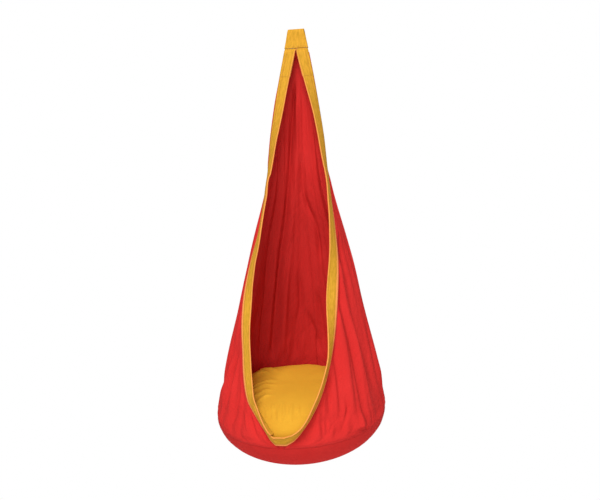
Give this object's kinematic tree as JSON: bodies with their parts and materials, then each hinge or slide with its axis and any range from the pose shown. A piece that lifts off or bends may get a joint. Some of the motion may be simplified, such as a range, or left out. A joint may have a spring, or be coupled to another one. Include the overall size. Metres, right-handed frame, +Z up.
{
  "type": "hanging pod swing chair",
  "caption": "Hanging cloth pod swing for a child, with a bound front opening, a hanging loop and a blow-up seat cushion in a zipped cover.",
  "frame": {"origin": "the highest point of the hook loop's inside, where it bears on the hook bar", "axes": "+Z up along the hanging line, -Y out of the pod's front opening, +X to the sitter's left, which is the right as one faces the opening"},
  "size_m": [0.571, 0.5844, 1.4647],
  "materials": {
    "yellow_cloth": "matte cotton weave",
    "red_cloth": "matte cotton weave",
    "white_webbing": "woven webbing",
    "zip_coil_plastic": "satin",
    "zip_metal": "satin",
    "bladder_skin": "satin film",
    "valve_plastic": "gloss"
  },
  "bodies": {
    "hook_end": {"hook_webbing_crown": "white_webbing"},
    "loop": {"loop_cover": "yellow_cloth", "loop_webbing_front": "white_webbing", "loop_webbing_back": "white_webbing"},
    "neck": {"neck_band_left": "yellow_cloth", "neck_band_right": "yellow_cloth"},
    "pod": {"opening_band_left": "yellow_cloth", "opening_band_right": "yellow_cloth", "band_webbing_left": "white_webbing", "band_webbing_right": "white_webbing", "side_panel_left": "red_cloth", "side_panel_right": "red_cloth", "base_panel": "red_cloth", "cushion_cover_top": "yellow_cloth", "cushion_cover_bottom": "yellow_cloth", "cushion_gusset": "yellow_cloth", "zip_tape_upper": "yellow_cloth", "zip_tape_lower": "yellow_cloth", "zip_coil": "zip_coil_plastic", "zip_stop_start": "zip_metal", "zip_stop_end": "zip_metal", "air_bladder": "bladder_skin", "valve_stem": "valve_plastic"},
    "slider": {"zip_slider": "zip_metal"},
    "pull": {"zip_pull": "zip_metal"},
    "plug": {"valve_plug": "valve_plastic"}
  },
  "joints": [
    {"name": "swing_fore_aft", "type": "hinge", "parent": "hook_end", "child": "loop", "pos_m": [0, 0, -0.006], "axis": [1, 0, 0], "range_deg": [-35, 35]},
    {"name": "sway_side", "type": "hinge", "parent": "loop", "child": "neck", "pos_m": [0, 0, -0.05], "axis": [0, 1, 0], "range_deg": [-15, 15]},
    {"name": "twist", "type": "hinge", "parent": "neck", "child": "pod", "pos_m": [0, 0, -0.078], "axis": [0, 0, 1], "range_deg": [-90, 90]},
    {"name": "zip_run", "type": "hinge", "parent": "pod", "child": "slider", "pos_m": [0, -0.0115, -1.298], "axis": [0, -0.2504, 0.9681], "range_deg": [-112, 0]},
    {"name": "pull_flip", "type": "hinge", "parent": "slider", "child": "pull", "pos_m": [-0.22567, 0.13949, -1.25895], "axis": [0, -0.2504, 0.9681], "range_deg": [-18, 0]},
    {"name": "plug_out", "type": "slide", "parent": "pod", "child": "plug", "axis": [0, 0.2504, -0.9681], "range_m": [0, 0.011]}
  ]
}
